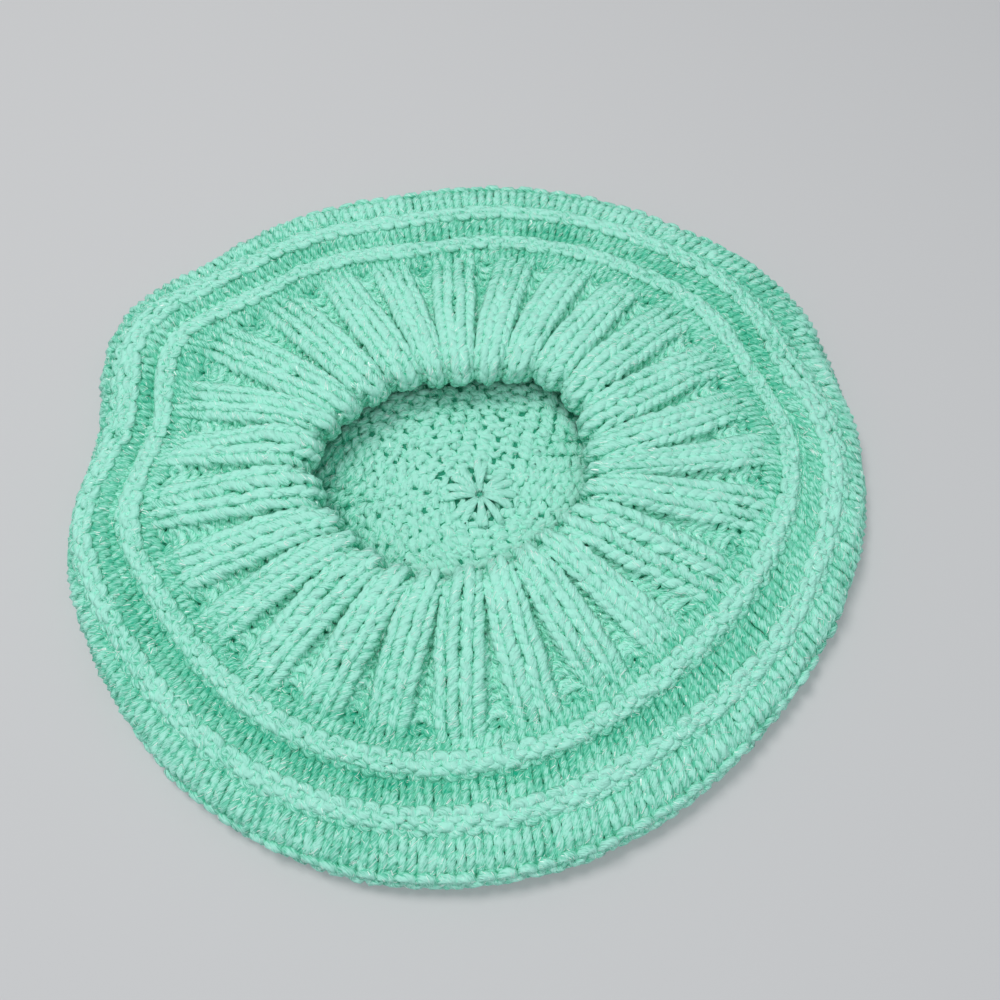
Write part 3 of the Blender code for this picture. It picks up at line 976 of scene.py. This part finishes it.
def tinsel_mesh(name, rows, material, density):
    """Flat filaments over the yarn of some rows, with density pieces to a metre."""
    points, faces = [], []
    base = 0
    for row in rows:
        count = len(row["middle"])
        total = row["length"][-1]
        number = rng.poisson(density * total)
        if not number:
            continue
        start = rng.uniform(0, count, number)
        reach = rng.uniform(*TINSEL_REACH, number)
        phase = np.radians(rng.uniform(20, 160, number)) * row["face"]
        twist = np.radians(rng.uniform(14, 34, number)) * np.where(rng.random(number) < 0.85, -1, 1)
        steps = np.arange(TINSEL_STEPS)
        place = start[:, None] + reach[:, None] * steps
        low = np.floor(place).astype(int)
        share = (place - low)[..., None]
        low, high = low % count, (low + 1) % count
        side, up, middle = (between(row[key], low, high, share) for key in ("side", "up", "middle"))
        half, deep = (between(row[key][:, None], low, high, share) for key in ("half", "deep"))
        angle = phase[:, None] + twist[:, None] * (steps - (TINSEL_STEPS - 1) / 2)
        ca, sa = np.cos(angle)[..., None], np.sin(angle)[..., None]
        on_yarn = middle + (side * ca * half + up * sa * deep) * TINSEL_OUT
        edge = unit(-side * sa * half + up * ca * deep)
        wide = TINSEL_HALF * (1 + 0.25 * rng.normal(size=(number, 1, 1)))
        pair = np.stack([on_yarn - edge * wide, on_yarn + edge * wide], axis=2)
        pair = pair.reshape(number, TINSEL_STEPS * 2, 3)
        pair[..., 2] = np.maximum(pair[..., 2], FLOOR_GAP)
        points.append(pair.reshape(-1, 3))
        first = np.arange(number)[:, None] * TINSEL_STEPS * 2 + 2 * np.arange(TINSEL_STEPS - 1)[None, :]
        first = base + first
        faces.append(np.stack([first, first + 1, first + 3, first + 2], axis=-1).reshape(-1, 4))
        base += number * TINSEL_STEPS * 2
    return quad_piece(name, np.concatenate(points), np.concatenate(faces), material)


# The tinsel's near-white colour is partly the filament's own pale colour and partly painted glint, so it
# stays brighter than the yarn
tinsel = bpy.data.materials.new("tinsel")
make = node_maker(tinsel)
glint_foil = make("ShaderNodeBsdfPrincipled", Base_Color=(0.82, 1.0, 0.94, 1), Roughness=0.32, Metallic=0.0)
glint_foil.inputs["Specular IOR Level"].default_value = 0.9
make("ShaderNodeOutputMaterial", Surface=glint_foil.outputs[0])
tinsel_on = {
    "side": ("side_under", "side_upper"),
    "ribbed_band": ("ribs_outer", "ribs_inner", "bound_edge"),
    "crown": ("crown_inner", "crown_outer", "crown_star"),
}
for part, names in tinsel_on.items():
    rows_below = [row for name in names for row in groups[name]]
    piece = tinsel_mesh(part + "_tinsel", rows_below, tinsel, TINSEL_PER_METRE * TINSEL_SHARES[part])
    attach(piece, "root")
    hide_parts(part)

# Dark sheets inside the knitting that close the gaps between stitches: painted shade in the gaps
CORE_DEPTH = 0.0005
CORE_PLACES = 8
# From where to where each sheet reaches, in courses or shares of the crown, and its lines
SIDE_CORE = (-0.18, 1.0, 36)
RIBS_CORE = (1.0, 1.97, 26)
CROWN_CORE = (0.006, 0.98, 16)
CROWN_CORE_TURNS = 120


def core_mesh(name, grid, material):
    """A thin sheet inside the knitting, closed on itself along its first axis."""
    across = np.roll(grid, -1, axis=0) - np.roll(grid, 1, axis=0)
    along = np.gradient(grid, axis=1)
    grid = grid - unit(np.cross(across, along)) * CORE_DEPTH
    grid[..., 2] = np.maximum(grid[..., 2], CORE_DEPTH)
    count, lines = grid.shape[:2]
    k, m = np.arange(count)[:, None], np.arange(lines - 1)[None, :]
    after = (k + 1) % count
    here, there = k * lines + m, after * lines + m
    faces = np.stack([here, there, there + 1, here + 1], axis=-1)
    return quad_piece(name, grid.reshape(-1, 3), faces.reshape(-1, 4), material)


# Painted shade: the dark green seen through the gaps between stitches
GAP_SHADE_COLOUR = (0.018, 0.27, 0.16, 1)
gap_shade_paint = bpy.data.materials.new("painted_gap_shade")
make = node_maker(gap_shade_paint)
soft = make("ShaderNodeBsdfPrincipled", Base_Color=GAP_SHADE_COLOUR, Roughness=0.95)
make("ShaderNodeOutputMaterial", Surface=soft.outputs[0])
places = np.arange(RIBS * CORE_PLACES)[:, None] / CORE_PLACES
side_lines = np.linspace(*SIDE_CORE)[None, :]
rib_lines = np.linspace(*RIBS_CORE)[None, :]
turns = np.arange(CROWN_CORE_TURNS)[:, None] / CROWN_CORE_TURNS
crown_lines = np.linspace(*CROWN_CORE)[None, :]
cores = {
    "side_gap_shade": ("side", side_surface(places + 0 * side_lines, side_lines + 0 * places)),
    "ribs_gap_shade": ("ribbed_band", side_surface(places + 0 * rib_lines, rib_lines + 0 * places)),
    "crown_gap_shade": ("crown", crown_surface(turns + 0 * crown_lines, crown_lines + 0 * turns)),
}
for name, (part, grid) in cores.items():
    piece = core_mesh(name, grid + HUB, gap_shade_paint)
    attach(piece, "root")
    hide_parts(part)

# Floor
FLOOR_HALF = 3.0
corners = [(FLOOR_HALF * x, FLOOR_HALF * y, 0) for x, y in ((-1, -1), (1, -1), (1, 1), (-1, 1))]
floor_mesh = bpy.data.meshes.new("floor")
floor_mesh.from_pydata(corners, [], [(0, 1, 2, 3)])
floor = bpy.data.objects.new("floor", floor_mesh)
bpy.context.scene.collection.objects.link(floor)
floor_paint = bpy.data.materials.new("floor_paint")
make = node_maker(floor_paint)
paint = make("ShaderNodeBsdfPrincipled", Base_Color=(0.62, 0.62, 0.63, 1), Roughness=0.9)
make("ShaderNodeOutputMaterial", Surface=paint.outputs[0])
floor_mesh.materials.append(floor_paint)

# Light: place, width and power of each lamp, all aimed at the part's origin
KEY_PLACE, KEY_SIZE, KEY_POWER = (-0.37, 0.27, 1.12), 0.50, 6.2
FILL_PLACE, FILL_SIZE, FILL_POWER = (0.12, -0.42, 1.05), 0.5, 3.5
LAMP_AIM = (0, 0, 0)
SKY_STRENGTH = 0.325
world = bpy.data.worlds.new("studio")
world.use_nodes = True
sky = world.node_tree.nodes["Background"]
sky.inputs["Color"].default_value = (0.93, 0.97, 1.0, 1)
sky.inputs["Strength"].default_value = SKY_STRENGTH
bpy.context.scene.world = world


def area(name, place, target, size, power, colour):
    light = bpy.data.lights.new(name, "AREA")
    light.shape = "DISK"
    light.size = size
    light.energy = power
    light.color = colour
    holder = bpy.data.objects.new(name, light)
    bpy.context.scene.collection.objects.link(holder)
    holder.location = place
    holder.rotation_euler = (Vector(target) - Vector(place)).to_track_quat("-Z", "Y").to_euler()


area("key_light", KEY_PLACE, LAMP_AIM, KEY_SIZE, KEY_POWER, (1.0, 0.99, 0.97))
area("fill_light", FILL_PLACE, LAMP_AIM, FILL_SIZE, FILL_POWER, (0.95, 0.98, 1.0))

# Camera at the photograph's angle: place, tilt from straight down in degrees, focal length
CAMERA_PLACE = (0.00893, -0.13866, 0.280)
CAMERA_TILT = 25.6
CAMERA_LENS = 34.56
camera = bpy.data.cameras.new("camera")
camera.sensor_width = 36.0
camera.lens = CAMERA_LENS
camera.clip_start = 0.01
viewer = bpy.data.objects.new("camera", camera)
viewer.location = CAMERA_PLACE
viewer.rotation_euler = (math.radians(CAMERA_TILT), 0.0, 0.0)
bpy.context.scene.collection.objects.link(viewer)
bpy.context.scene.camera = viewer
bpy.context.scene.view_settings.view_transform = "Standard"
